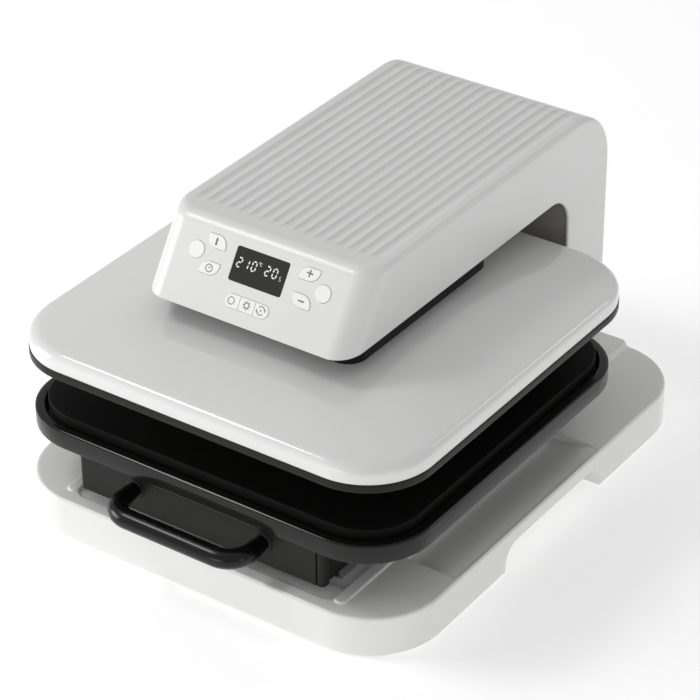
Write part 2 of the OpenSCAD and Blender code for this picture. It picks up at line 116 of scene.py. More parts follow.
def material(name, color, rough, spread=0.02, grain=400.0, bump=0.02, mottle=14.0, metal=0.0, coat=0.0,
             specular=0.5, emit=None, stretch=(1, 1, 1)):
    """Procedural finish: noise varies the colour and roughness, finer noise lifts the surface."""
    m = bpy.data.materials.new(name)
    m.use_nodes = True
    n, link = m.node_tree.nodes, m.node_tree.links.new
    shader = n["Principled BSDF"]
    place = n.new("ShaderNodeTexCoord")
    scale = n.new("ShaderNodeMapping")
    scale.inputs["Scale"].default_value = stretch
    link(place.outputs["Object"], scale.inputs["Vector"])
    broad = n.new("ShaderNodeTexNoise")
    broad.inputs["Scale"].default_value = mottle
    broad.inputs["Detail"].default_value = 4
    fine = n.new("ShaderNodeTexNoise")
    fine.inputs["Scale"].default_value = grain
    fine.inputs["Detail"].default_value = 6
    for tex in (broad, fine):
        link(scale.outputs["Vector"], tex.inputs["Vector"])
    ramp = n.new("ShaderNodeValToRGB")
    for element, gain in zip(ramp.color_ramp.elements, (1 - spread, 1 + spread)):
        element.color = [min(1.0, c * gain) for c in color] + [1]
    ramp.color_ramp.elements[0].position = 0.35
    ramp.color_ramp.elements[1].position = 0.65
    link(broad.outputs["Fac"], ramp.inputs["Fac"])
    link(ramp.outputs["Color"], shader.inputs["Base Color"])
    roughness = n.new("ShaderNodeMapRange")
    roughness.inputs["To Min"].default_value = max(0.02, rough * 0.85)
    roughness.inputs["To Max"].default_value = min(1.0, rough * 1.15)
    link(fine.outputs["Fac"], roughness.inputs["Value"])
    link(roughness.outputs["Result"], shader.inputs["Roughness"])
    lift = n.new("ShaderNodeBump")
    lift.inputs["Strength"].default_value = bump
    lift.inputs["Distance"].default_value = 0.0005
    link(fine.outputs["Fac"], lift.inputs["Height"])
    link(lift.outputs["Normal"], shader.inputs["Normal"])
    shader.inputs["Metallic"].default_value = metal
    shader.inputs["Specular IOR Level"].default_value = specular
    shader.inputs["Coat Weight"].default_value = coat
    shader.inputs["Coat Roughness"].default_value = 0.06
    if emit:
        link(ramp.outputs["Color"], shader.inputs["Emission Color"])
        shader.inputs["Emission Strength"].default_value = emit
    return m


FINISH = {
    "white_shell": material("gloss_white", (0.80, 0.80, 0.795), 0.16, 0.006, 900, 0.006, coat=0.5),
    "base_white": material("base_gloss_white", (0.82, 0.82, 0.812), 0.24, 0.006, 900, 0.008, coat=0.3),
    "white_satin": material("satin_white", (0.78, 0.78, 0.775), 0.30, 0.008, 1400, 0.014, coat=0.15),
    "key_white": material("key_white", (0.90, 0.90, 0.885), 0.38, 0.006, 1600, 0.02),
    "dark_trim": material("satin_black", (0.0105, 0.0100, 0.0092), 0.36, 0.06, 1800, 0.04, specular=0.2),
    "dark_metal": material("powder_black", (0.0125, 0.0120, 0.0112), 0.42, 0.06, 1500, 0.06, specular=0.2),
    "pad_black": material("silicone_black", (0.0070, 0.0066, 0.0062), 0.5, 0.1, 700, 0.02, specular=0.08),
    "rubber_black": material("rubber_black", (0.02, 0.02, 0.02), 0.7, 0.1, 900, 0.12),
    "bare_steel": material("zinc_steel", (0.50, 0.51, 0.52), 0.38, 0.06, 260, 0.05, metal=1.0,
                           stretch=(1, 6, 6)),
    "bright_steel": material("ground_steel", (0.62, 0.62, 0.63), 0.2, 0.04, 500, 0.03, metal=1.0,
                             stretch=(1, 1, 8)),
    "cast_aluminium": material("cast_aluminium", (0.58, 0.59, 0.60), 0.42, 0.06, 380, 0.1, metal=1.0),
    "nonstick": material("nonstick_grey", (0.010, 0.010, 0.011), 0.4, 0.08, 1200, 0.04, specular=0.3),
    "element": material("heater_sheath", (0.36, 0.33, 0.29), 0.5, 0.12, 240, 0.1, metal=0.9),
    "blanket": material("woven_blanket", (0.66, 0.61, 0.49), 0.95, 0.12, 320, 0.5),
    "brass": material("bearing_brass", (0.66, 0.47, 0.19), 0.3, 0.06, 300, 0.05, metal=1.0),
    "board_green": material("board_green", (0.02, 0.13, 0.05), 0.35, 0.1, 260, 0.05),
    "display_dark": material("display_dark", (0.030, 0.029, 0.028), 0.22, 0.03, 900, 0.006, specular=0.3),
    "inlet_black": material("inlet_black", (0.02, 0.02, 0.02), 0.45, 0.08, 1300, 0.1),
    "rocker_red": material("rocker_red", (0.42, 0.02, 0.015), 0.25, 0.04, 700, 0.02),
    "copper": material("copper_winding", (0.55, 0.27, 0.11), 0.4, 0.12, 500, 0.2, metal=0.8,
                       stretch=(1, 1, 12)),
    "ink": material("printed_grey", (0.20, 0.20, 0.20), 0.5, 0.05, 900, 0.01),
    "digits": material("display_digits", (0.80, 0.81, 0.80), 0.5, 0.02, 900, 0.01, emit=0.2),
    "tray": material("tray_black", (0.0065, 0.0061, 0.0056), 0.4, 0.06, 1800, 0.012,
                     coat=0.5, specular=0.1),
    # Black plastic of the arm skirt, made darker than the trim black as painted shade for its place under the
    # arm
    "skirt": material("skirt_black_painted_shade", (0.004, 0.004, 0.004), 0.5, 0.06, 1500, 0.04, specular=0.12),
    # Partly the inner column cover's own dark grey, raised to a mid grey as painted light for its shaded
    # recess under the arm
    "column_grey_painted_light": material("column_grey_painted_light", (0.30, 0.292, 0.28), 0.35, 0.05, 1500, 0.04),
    "handle": material("gloss_black", (0.003, 0.003, 0.003), 0.22, 0.05, 900, 0.006, specular=0.36),
}

# Finishes of CAD nodes that differ from their slot's usual one: the arm skirt's darker black is painted shade
# under the arm, the inner cover's brighter grey is painted light in its shaded recess
NODE_LOOKS = {"arm_skirt": "skirt", "inner_cover": "column_grey_painted_light"}

# ---------------------------------------------------------------- meshing helpers


def finish_piece(obj, body, slot, look=None, replaces=(), sharp=None):
    """Shades a piece, gives it its finish and fixes it to a CAD body."""
    mesh = obj.data
    mesh.materials.clear()
    mesh.materials.append(FINISH[look or slot])
    mesh.polygons.foreach_set("use_smooth", [True] * len(mesh.polygons))
    if sharp:
        mesh.set_sharp_from_angle(angle=math.radians(sharp))
    mesh.update()
    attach(obj, body)
    if replaces:
        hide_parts(*replaces)
    return obj


def add_mesh(name, points, faces):
    """Object from millimetre points and faces."""
    mesh = bpy.data.meshes.new(name)
    mesh.from_pydata((np.asarray(points) * MM).tolist(), [], [list(f) for f in faces])
    mesh.validate()
    obj = bpy.data.objects.new(name, mesh)
    bpy.context.scene.collection.objects.link(obj)
    return obj


def rounded_ring(hw, hl, r, cy, z, per_corner=14):
    """Points of a rounded rectangle round (0, cy) at height z, anticlockwise."""
    r = min(r, hw, hl)
    points = []
    for sx, sy, start in ((1, 1, 0), (-1, 1, 90), (-1, -1, 180), (1, -1, 270)):
        for k in range(per_corner + 1):
            a = math.radians(start + 90 * k / per_corner)
            points.append((sx * (hw - r) + r * math.cos(a), cy + sy * (hl - r) + r * math.sin(a), z))
    return points


def loft(name, rings, cap_start=False, cap_end=False, closed=False):
    """Skins equal rings into quads. closed joins the last ring to the first."""
    count = len(rings[0])
    points = [p for ring in rings for p in ring]
    faces = []
    last = len(rings) if closed else len(rings) - 1
    for i in range(last):
        a, b = i * count, ((i + 1) % len(rings)) * count
        faces += [(a + j, a + (j + 1) % count, b + (j + 1) % count, b + j) for j in range(count)]
    if cap_start:
        faces.append(tuple(reversed(range(count))))
    if cap_end:
        faces.append(tuple((len(rings) - 1) * count + j for j in range(count)))
    return add_mesh(name, points, faces)


def arc(cy, cz, r, start, end, steps=6):
    """Points (offset, height) on an arc, angles in degrees."""
    return [(cy + r * math.cos(math.radians(start + (end - start) * k / steps)),
             cz + r * math.sin(math.radians(start + (end - start) * k / steps))) for k in range(steps + 1)]


def sweep(name, path, radii, sides=24, closed=False):
    """Tube of elliptical section along a path. radii gives (across, up) at each point."""
    path = [Vector(p) for p in path]
    rings = []
    for i, p in enumerate(path):
        before = path[i - 1] if i or closed else p
        after = path[(i + 1) % len(path)] if i < len(path) - 1 or closed else p
        along = (after - before).normalized()
        up = Vector((0, 0, 1)) if abs(along.z) < 0.9 else Vector((0, 1, 0))
        across = along.cross(up).normalized()
        up = across.cross(along)
        a, b = radii[i] if isinstance(radii, list) else radii
        turns = [math.tau * k / sides for k in range(sides)]
        rings.append([p + across * a * math.cos(t) + up * b * math.sin(t) for t in turns])
    return loft(name, rings, cap_start=not closed, cap_end=not closed, closed=closed)


# ---- distance fields: negative inside, in millimetres


def round_max(a, b, r):
    """Intersection of two fields with an edge of radius r."""
    return np.minimum(-r, np.maximum(a, b)) + np.sqrt(np.maximum(a + r, 0) ** 2 + np.maximum(b + r, 0) ** 2)


def round_min(a, b, r):
    """Union of two fields with a fillet of radius r."""
    return np.maximum(r, np.minimum(a, b)) - np.sqrt(np.maximum(r - a, 0) ** 2 + np.maximum(r - b, 0) ** 2)


def plan_field(x, y, hw, front, back, r):
    """Rounded rectangle in plan."""
    qx = np.abs(x) - (hw - r)
    qy = np.abs(y - (front + back) / 2) - ((back - front) / 2 - r)
    return np.sqrt(np.maximum(qx, 0) ** 2 + np.maximum(qy, 0) ** 2) + np.minimum(np.maximum(qx, qy), 0) - r


def smooth(t):
    """Eased step from 0 to 1."""
    t = np.clip(t, 0, 1)
    return t * t * (3 - 2 * t)


CORNERS = [(i, j, k) for i in (0, 1) for j in (0, 1) for k in (0, 1)]
EDGES = [(a, b) for a in CORNERS for b in CORNERS if a < b and sum(abs(p - q) for p, q in zip(a, b)) == 1]


def spaced(*spans):
    """Grid lines along one axis from (start, step) pairs and a last stop."""
    lines = []
    for (start, step), end in zip(spans[:-1], [n[0] if isinstance(n, tuple) else n for n in spans[1:]]):
        lines += list(np.linspace(start, end, max(2, round((end - start) / step) + 1))[:-1])
    return np.array(lines + [spans[-1]])


def field_slope(field, points, reach=0.1):
    """Gradient of a field at millimetre points."""
    steps = np.eye(3) * reach
    return np.stack([(field(*(points + d).T) - field(*(points - d).T)) / (2 * reach) for d in steps], -1)


def surface_net(name, field, axes):
    """Closed quad mesh of a field's zero surface, with its points drawn onto that surface."""
    grid = np.broadcast_to(field(*np.meshgrid(*axes, indexing="ij", sparse=True)),
                           [len(a) for a in axes]).astype(np.float32)
    inside = grid < 0
    shape = [n - 1 for n in grid.shape]
    part = lambda a, c: a[c[0]:c[0] + shape[0], c[1]:c[1] + shape[1], c[2]:c[2] + shape[2]]
    filled = sum(part(inside, c).astype(np.int8) for c in CORNERS)
    cells = np.argwhere((filled > 0) & (filled < 8))
    number = np.full(shape, -1, np.int64)
    number[tuple(cells.T)] = np.arange(len(cells))
    total, hits = np.zeros((len(cells), 3)), np.zeros(len(cells))
    for a, b in EDGES:
        ga = grid[tuple((cells + a).T)]
        gb = grid[tuple((cells + b).T)]
        crosses = (ga < 0) != (gb < 0)
        t = ga[crosses] / (ga[crosses] - gb[crosses])
        total[crosses] += np.array(a) + t[:, None] * (np.array(b) - np.array(a))
        hits[crosses] += 1
    inner = total / hits[:, None]
    points = np.stack([a[cells[:, k]] * (1 - inner[:, k]) + a[cells[:, k] + 1] * inner[:, k]
                       for k, a in enumerate(axes)], -1)
    size = np.stack([np.diff(a)[cells[:, k]] for k, a in enumerate(axes)], -1)
    limit = 0.6 * size.min(1)
    for _ in range(4):
        value = field(*points.T)
        slope = field_slope(field, points)
        move = -value[:, None] * slope / np.maximum((slope ** 2).sum(1), 0.05)[:, None]
        length = np.sqrt((move ** 2).sum(1))
        points += move * np.minimum(1, limit / np.maximum(length, 1e-9))[:, None]
    quads = []
    for axis, (u, v) in enumerate(((1, 2), (2, 0), (0, 1))):
        first = [slice(None)] * 3
        second = [slice(None)] * 3
        first[axis], second[axis] = slice(0, -1), slice(1, None)
        a, b = inside[tuple(first)], inside[tuple(second)]
        at = np.argwhere(a != b)
        at = at[(at[:, u] > 0) & (at[:, v] > 0) & (at[:, u] < shape[u]) & (at[:, v] < shape[v])]
        outward = a[tuple(at.T)]
        ring = []
        for du, dv in ((-1, -1), (0, -1), (0, 0), (-1, 0)):
            cell = at.copy()
            cell[:, u] += du
            cell[:, v] += dv
            ring.append(number[tuple(cell.T)])
        ring = np.stack(ring, 1)
        ring[~outward] = ring[~outward][:, ::-1]
        quads.append(ring)
    quads = np.concatenate(quads)
    mesh = bpy.data.meshes.new(name)
    mesh.vertices.add(len(points))
    mesh.vertices.foreach_set("co", (points * MM).astype(np.float32).ravel())
    mesh.loops.add(len(quads) * 4)
    mesh.loops.foreach_set("vertex_index", quads.ravel().astype(np.int32))
    mesh.polygons.add(len(quads))
    mesh.polygons.foreach_set("loop_start", np.arange(0, len(quads) * 4, 4, dtype=np.int32))
    mesh.update(calc_edges=True)
    obj = bpy.data.objects.new(name, mesh)
    bpy.context.scene.collection.objects.link(obj)
    return obj


def cut_with(obj, cutters):
    """Cuts closed meshes out of obj and removes them."""
    for cutter in cutters:
        cut = obj.modifiers.new("cut", "BOOLEAN")
        cut.operation = "DIFFERENCE"
        cut.solver = "EXACT"
        cut.object = cutter
    evaluated = obj.evaluated_get(bpy.context.evaluated_depsgraph_get())
    mesh = bpy.data.meshes.new_from_object(evaluated)
    obj.modifiers.clear()
    obj.data = mesh
    for cutter in cutters:
        bpy.data.objects.remove(cutter)


def shade_by_field(obj, field, limit=42, reach=0.2):
    """Sets normals from the field's gradient, and leaves cut faces flat."""
    mesh = obj.data
    points = np.empty(len(mesh.vertices) * 3)
    mesh.vertices.foreach_get("co", points)
    slope = field_slope(field, points.reshape(-1, 3) / MM, reach)
    slope /= np.maximum(np.linalg.norm(slope, axis=1), 1e-9)[:, None]
    corner = np.empty(len(mesh.loops), np.int32)
    mesh.loops.foreach_get("vertex_index", corner)
    flat = np.empty(len(mesh.polygons) * 3)
    mesh.polygons.foreach_get("normal", flat)
    sides = np.empty(len(mesh.polygons), np.int32)
    mesh.polygons.foreach_get("loop_total", sides)
    flat = np.repeat(flat.reshape(-1, 3), sides, axis=0)
    normal = slope[corner]
    turned = (normal * flat).sum(1) < math.cos(math.radians(limit))
    normal[turned] = flat[turned]
    mesh.normals_split_custom_set(normal.tolist())


# ---------------------------------------------------------------- base


def base_field(x, y, z):
    """Base moulding: body and plinth, less the drawer channel, recesses, hand grips and hollow underside."""
    plan = plan_field(x, y, BASE_HW, BASE_FRONT, BASE_BACK, BASE_R)
    body = round_max(plan, z - DECK_Z, 2.8)
    body = round_max(body, 2 - z, 1.5)
    plinth = round_max(plan_field(x, y, PLINTH_HW, CHANNEL_BACK, BASE_BACK + 1.6, 7), z - PLINTH_Z, 2.0)
    plinth = np.maximum(plinth, 12 - z)
    body = round_min(body, plinth, 4.0)
    floor = FLOOR_Z + 3.6 * smooth((-190 - y) / 14)
    channel = np.maximum(plan_field(x, y, CHANNEL_HW, CHANNEL_FRONT, CHANNEL_BACK, 10), floor - z)
    body = round_max(body, -channel, 1.2)
    side = np.abs(x)
    bar = plan_field(side - BAR_X, y, BAR_HW, CHANNEL_FRONT, CHANNEL_BACK - 3, BAR_HW - 0.1)
    bar = round_max(bar, z - DECK_Z - 1.9, 1.3)
    body = round_min(body, np.maximum(bar, 34 - z), 0.8)
    slope = DECK_Z - RECESS_DEPTH * (1 - smooth((side - 148) / 62)) - z
    recess = round_max(plan_field(side - RECESS_X, y, RECESS_HW, RECESS_FRONT, RECESS_BACK, 2.5), slope, 1.5)
    body = round_max(body, -recess, 1.6)
    arch = round_max(np.abs(y - GRIP_Y) - GRIP_HL, z - GRIP_TOP, 18.0)
    grip = round_max(arch, (BASE_HW - 19) - side, 4.0)
    body = round_max(body, -grip, 1.6)
    under = np.maximum(plan_field(x, y, BASE_HW - 4, BASE_FRONT + 4, BASE_BACK - 4, BASE_R - 4), z - 8)
    return round_max(body, -np.maximum(under, side - BASE_HW + 22.5), 0.8)


def build_base():
    wide = spaced((-BASE_HW - 4, 1.6), (-132, 4.0), (132, 1.6), BASE_HW + 4)
    deep = spaced((BASE_FRONT - 4, 1.7), (-205, 2.6), (185, 1.7), BASE_BACK + 6)
    shell = surface_net("base_moulding", base_field, [wide, deep, spaced((-2.0, 1.15), PLINTH_Z + 4)])
    finish_piece(shell, "stand", "white_shell", look="base_white", replaces=["base_shell"])
    shade_by_field(shell, base_field)


# ---------------------------------------------------------------- drawer


def build_tray():
    wall, top, floor = 9.0, TRAY_HIGH[2], 97.8
    bottom = TRAY_LOW[2]
    outline = [(70, bottom), (3, bottom)] + arc(3, bottom + 3, 3, 270, 180, 4)
    outline += [(0, top - 1.6), (0.08, top - 1.3), (0.35, top - 1.0), (1.9, top - 0.1), (2.2, top)]
    outline += [(d, z) for d, z in arc(wall - 1.4, top - 1.4, 1.4, 90, 0, 5)]
    outline += [(wall, floor + 1), (wall + 1, floor), (70, floor)]
    rings = [rounded_ring(TRAY_HW - d, TRAY_HL - d, TRAY_R - d, TRAY_Y, z) for d, z in outline]
    tray = loft("tray_moulding", rings, closed=True)
    finish_piece(tray, "drawer", "dark_trim", look="tray", replaces=["tray"], sharp=22)


def build_pad():
    edge = 1.2
    outline = [(40, PAD_BOTTOM), (0, PAD_BOTTOM)] + arc(edge, PAD_TOP - edge, edge, 180, 90, 6)
    outline += [(edge + 4 * k * k, PAD_TOP) for k in range(1, 7)]
    hw, hl, r = TRAY_HW - PAD_INSET, TRAY_HL - PAD_INSET, TRAY_R - PAD_INSET
    rings = [rounded_ring(hw - d, hl - d, r - min(d, 45), TRAY_Y, z) for d, z in outline]
    pad = finish_piece(loft("press_pad", rings, cap_start=True, cap_end=True), "drawer", "pad_black",
                       replaces=["pad"], sharp=60)


def front_field(x, y, z):
    plate = plan_field(x, y, FRONT_HW, FRONT_Y, FRONT_Y + 12, 5.2)
    plate = round_max(plate, np.abs(z - (50.6 + 93.7) / 2) - (93.7 - 50.6) / 2, 1.6)
    inside = np.maximum(np.maximum(np.abs(x) - FRONT_HW + 8, FRONT_Y + 3.5 - y), np.abs(z - 71) - 16)
    plate = np.maximum(plate, -inside)
    seam = np.maximum(np.abs(x - (FRONT_HW - 7.4)) - 0.7, y - FRONT_Y - 1.6)
    plate = round_max(plate, -seam, 0.5)
    return plate


def build_front():
    wide = spaced((-FRONT_HW - 2, 0.6), (-FRONT_HW + 12, 4.0), (FRONT_HW - 12, 0.6), FRONT_HW + 2)
    plate = surface_net("drawer_fascia", front_field,
                        [wide, spaced((FRONT_Y - 2, 0.7), FRONT_Y + 14), spaced((48.0, 1.0), 96.0)])
    finish_piece(plate, "drawer", "dark_metal", replaces=["drawer_front"])
    shade_by_field(plate, front_field)
    for s in (-1, 1):
        x = s * 126.75
        rings = [[(x - 1.25, y, 50.6), (x + 1.25, y, 50.6), (x + 1.25, y, 90), (x - 1.25, y, 90)]
                 for y in (FRONT_Y + 11, 20, 142)]
        side = loft("drawer_side_" + ("left" if s < 0 else "right"), rings, cap_start=True, cap_end=True)
        bevel(side, 0.5)
        finish_piece(side, "drawer", "dark_metal", sharp=40)


def build_handle():
    """Bail handle: two necks and a front bar, thickest along the bar."""
    half = HANDLE_HIGH[0] - 8.3
    bar_y = HANDLE_LOW[1] + 9.4
    bend = 22.0
    path, radii = [], []
    for y in np.linspace(FRONT_Y + 1.5, bar_y + bend, 7):
        path.append((-half, y, HANDLE_Z + 1.2))
    for k in range(1, 13):
        a = math.radians(180 + 90 * k / 12)
        path.append((-half + bend + bend * math.cos(a), bar_y + bend + bend * math.sin(a), HANDLE_Z + 1.2))
    for x in np.linspace(-half + bend, half - bend, 15)[1:]:
        path.append((x, bar_y, HANDLE_Z + 1.2))
    path += [(-x, y, z) for x, y, z in reversed(path[:19])]
    for x, y, z in path:
        t = float(smooth((FRONT_Y - y) / 30))
        radii.append((7.4 + 2.0 * t, 6.8 + 1.9 * t))
    path = [(x, y, z - 1.6 * float(smooth((FRONT_Y - y) / 38))) for x, y, z in path]
    bail = sweep("bail_handle", path, radii, 36)
    finish_piece(bail, "drawer", "dark_trim", look="handle", replaces=["handle"])
    for s in (-1, 1):
        rings = []
        for r, y in ((9.8, 0.4), (9.7, -0.5), (9.0, -1.1), (7.0, -1.4)):
            rings.append([(s * half + r * math.cos(math.tau * k / 40), FRONT_Y + y,
                           HANDLE_Z + 1.2 + r * math.sin(math.tau * k / 40)) for k in range(40)])
        collar = loft("handle_collar_" + ("left" if s < 0 else "right"), rings, cap_start=True, cap_end=True)
        finish_piece(collar, "drawer", "dark_trim", sharp=60)


# ---------------------------------------------------------------- upper platen


def dome_ring(d, z):
    """Ring of the cover, d in from its edge, rounder corners towards the round hole in the middle."""
    hw = PLATEN_HW - 0.5 - d
    t = d / (PLATEN_HW - 32)
    r = (64 - 0.30 * d) * (1 - t) + hw * t
    return rounded_ring(hw, hw, r, PLATEN_Y, z, 20)


def build_dome():
    edge_z, wall_z, r = 174.4, 183.0, 8.5
    outline = [(2.6, edge_z), (0.5, edge_z), (0.1, edge_z + 0.4), (0, edge_z + 2), (0.0, wall_z)]
    turns = [math.radians(a) for a in range(8, 82, 6)]
    outline += [(r - r * math.cos(a), wall_z + r * math.sin(a)) for a in turns]
    d0, z0 = outline[-1]
    span = 118.0
    slope = math.tan(math.radians(10))
    rise = DOME_TOP - z0
    for k in range(1, 25):
        t = (k / 24) ** 1.15
        h = rise * (1 - (1 - t) ** (slope * span / rise)) if slope * span > rise else rise * t
        outline.append((d0 + span * t, z0 + h))
    hub = PLATEN_HW - 0.5 - 31.5
    for k in range(1, 7):
        outline.append((d0 + span + (hub - d0 - span) * k / 6, DOME_TOP))
    outline.append((hub, DOME_TOP - 3))
    inner = [(d + 2.6, z - 3.0) for d, z in reversed(outline[5:-7])]
    outline += inner + [(2.6, wall_z - 3)]
    cover = loft("platen_cover", [dome_ring(d, z) for d, z in outline], closed=True)
    finish_piece(cover, "platen", "white_shell", replaces=["dome"], sharp=60)


def build_trim():
    low, high = TRIM_LOW[2], TRIM_HIGH[2]
    outline = [(9, low)] + arc(1.2, low + 1.2, 1.2, 270, 180, 4) + arc(0.8, high - 0.8, 0.8, 180, 90, 4)
    outline += [(24, high), (24, 172), (9, 172)]
    rings = [rounded_ring(PLATEN_HW - d, PLATEN_HW - d, PLATEN_R - d, PLATEN_Y, z, 20) for d, z in outline]
    finish_piece(loft("platen_trim", rings, closed=True), "platen", "dark_trim", replaces=["trim"], sharp=50)


# ---------------------------------------------------------------- arm


def panel_out(y, z):
    """Height above the control panel's plane."""
    return -(y - PANEL_Y) * math.sin(PANEL_TILT) + (z - PANEL_Z) * math.cos(PANEL_TILT)


def rib_depth(x, y):
    """How far the ribbed top is cut below the flat: a steep drop after each rib, then a slow rise."""
    fade = smooth((y - RIB_FRONT) / 18) * smooth((RIB_BACK - y) / 14)
    depth = 0.0
    for shift in (-0.4, 0.0, 0.4):
        along = (x + shift - RIB_LEFT) / RIB_PITCH
        phase = along % 1.0
        scoop = (1 - phase) * (1 - np.exp(-phase / 0.10))
        depth = depth + np.where((along > 0) & (along < RIB_COUNT), scoop, 0.0)
    return 0.95 * fade * depth


def arm_skin(x, y, z):
    """Arm and column without the lower faces, used for the outside and, moved in, for the inside."""
    top = z - ARM_TOP + rib_depth(x, y)
    cap = round_max(top, y - COLUMN_BACK, BACK_R)
    walls = round_max(np.abs(x) - ARM_HW, panel_out(y, z), PANEL_CORNER_R)
    edge = EDGE_R + (CREASE_R - EDGE_R) * smooth((-88 - y) / 18)
    return round_max(cap, walls, edge)


def arm_field(x, y, z):
    skin = arm_skin(x, y, z)
    under = round_min(COLUMN_FRONT - y, ARM_UNDER - z, THROAT_R)
    body = round_max(skin, under, 1.6)
    body = np.maximum(body, PLINTH_Z - z)
    rear = np.maximum(np.maximum(np.abs(x) - ARM_HW + 3, 250 - y), z - 236.3)
    return np.maximum(np.maximum(body, -skin - 3.0), -rear)


def on_panel(obj):
    """Moves an object built flat (X across, Y up the slope, Z outward) onto the control panel."""
    tilt = Euler((PANEL_TILT, 0, 0)).to_matrix().to_4x4()
    obj.data.transform(Matrix.Translation(Vector((0, PANEL_Y, PANEL_Z)) * MM) @ tilt)
    return obj


def prism(name, outline, low, high):
    """Closed prism over a flat outline."""
    return loft(name, [[(x, y, z) for x, y in outline] for z in (low, high)], cap_start=True, cap_end=True)


def leaf_outline(sx, sv, grow=0.0, steps=14):
    """Leaf key outline: two pointed corners and two well rounded ones."""
    hw, hh, r = LEAF_HW + grow, LEAF_HH + grow, LEAF_R + grow
    points = [(-hw, hh)]
    turns = [math.pi / 2 * k / steps for k in range(steps + 1)]
    points += [(hw - r + r * math.sin(t), hh - r + r * math.cos(t)) for t in turns]
    points += [(-px, -py) for px, py in points]
    flip = -1 if sx * sv > 0 else 1
    points = [(LEAF_X * sx + flip * px, LEAF_V * sv + py) for px, py in points]
    return points if flip < 0 else points[::-1]


def box_outline(x0, x1, y0, y1, r, steps=8):
    """Rounded rectangle outline on the panel."""
    points = []
    corners = ((x1 - r, y1 - r, 0), (x0 + r, y1 - r, 90), (x0 + r, y0 + r, 180), (x1 - r, y0 + r, 270))
    for cx, cy, start in corners:
        for k in range(steps + 1):
            a = math.radians(start + 90 * k / steps)
            points.append((cx + r * math.cos(a), cy + r * math.sin(a)))
    return points


def round_outline(cx, cy, r, steps=48):
    turns = [math.tau * k / steps for k in range(steps)]
    return [(cx + r * math.cos(t), cy + r * math.sin(t)) for t in turns]


LEAF_X, LEAF_V, LEAF_HW, LEAF_HH, LEAF_R = 48.1, 11.75, 9.6, 5.7, 9.4
LEAVES = {"key_temperature": (-1, 1), "key_timer": (-1, -1), "key_plus": (1, 1), "key_minus": (1, -1)}
ROUND_X = 65.9
MODE_X, MODE_V, MODE_HH, MODE_REACH = -0.8, -31.2, 5.9, 22.3


def build_arm():
    step = RIB_PITCH / 14
    first, last = RIB_LEFT - step / 2, RIB_LEFT + RIB_COUNT * RIB_PITCH - step / 2
    wide = spaced((-ARM_HW - 3, 1.0), (first, step), (last, 1.0), ARM_HW + 3)
    deep = spaced((-160.0, 1.6), (-72.0, 5.0), (190.0, 2.0), COLUMN_BACK + 3)
    tall = spaced((40.0, 5.0), (190.0, 2.0), (ARM_TOP - 12, 0.8), ARM_TOP + 3)
    shell = surface_net("arm_moulding", arm_field, [wide, deep, tall])
    cutters = [prism("cut_window", box_outline(-27.4, 27.4, -15.3, 15.2, 2.15), -9, 6)]
    cutters += [prism("cut_" + k, leaf_outline(*v, grow=0.3), -9, 6) for k, v in LEAVES.items()]
    cutters += [prism("cut_round_%d" % s, round_outline(s * ROUND_X, 0, 7.9), -9, 6) for s in (-1, 1)]
    grown = MODE_HH + 0.25
    cutters.append(prism("cut_mode", box_outline(MODE_X - MODE_REACH - 0.25, MODE_X + MODE_REACH + 0.25,
                                                 MODE_V - grown, MODE_V + grown, grown - 0.01), -9, 6))
    for c in cutters:
        on_panel(c)
    bpy.context.view_layer.update()
    cut_with(shell, cutters)
    finish_piece(shell, "stand", "white_shell", look="white_satin", replaces=["arm_shell"])
    shade_by_field(shell, arm_field, reach=0.45)


# ---------------------------------------------------------------- control panel graphics


def flat_stroke(name, path, width, body, look="ink", lift=0.75, closed=False, slot="dark_trim"):
    """Thin raised line on the panel, path given on the panel's own X and Y."""
    obj = sweep(name, [(x, y, lift) for x, y in path], (width / 2, 0.09), 8, closed)
    on_panel(obj)
    return finish_piece(obj, body, slot, look=look)


def arc_path(cx, cy, r, start, end, steps=20):
    return [(cx + r * math.cos(math.radians(start + (end - start) * k / steps)),
             cy + r * math.sin(math.radians(start + (end - start) * k / steps))) for k in range(steps + 1)]


SEGMENTS = {"a": ((0, 1), (1, 1)), "b": ((1, 1), (1, 0)), "c": ((1, 0), (1, -1)), "d": ((0, -1), (1, -1)),
            "e": ((0, 0), (0, -1)), "f": ((0, 1), (0, 0)), "g": ((0, 0), (1, 0))}
DIGITS = {"0": "abcdef", "1": "bc", "2": "abged", "5": "afgcd"}


def mark(name, path, width, closed=False):
    """Lit line inside the display window."""
    flat_stroke(name, path, width, "stand", "digits", 0.19, closed, "key_white")


def digit(name, char, x, y, w, h, stroke, lean=0.1):
    """Seven-segment figure centred at height y, its left strokes at x."""
    for seg in DIGITS[char]:
        (ax, ay), (bx, by) = SEGMENTS[seg]
        a, b = Vector((ax * w, ay * h / 2)), Vector((bx * w, by * h / 2))
        gap = (b - a).normalized() * stroke * 0.55
        a, b = a + gap, b - gap
        path = [(x + end.x + lean * end.y, y + end.y) for end in (a, b)]
        mark("%s_%s" % (name, seg), path, stroke)


def build_display():
    for i, (char, x, y) in enumerate((("2", -22.9, 1.7), ("1", -15.7, 1.9), ("0", -8.0, 2.2), ("2", 6.2, 2.4),
                                      ("0", 13.7, 2.4))):
        digit("figure_%d" % i, char, x, y, 4.0, 8.1, 1.2)
    digit("seconds_mark", "5", 21.2, -0.5, 1.5, 3.4, 0.5)
    mark("degree_mark", arc_path(-1.3, 6.9, 0.6, 0, 340, 12), 0.35, True)
    mark("scale_mark", arc_path(0.6, 5.5, 1.2, 55, 305, 12), 0.45)


def ring_path(cx, cy, r, count):
    """Points of a closed ring, without repeating the first."""
    return arc_path(cx, cy, r, 0, 360 * (count - 1) / count, count - 1)


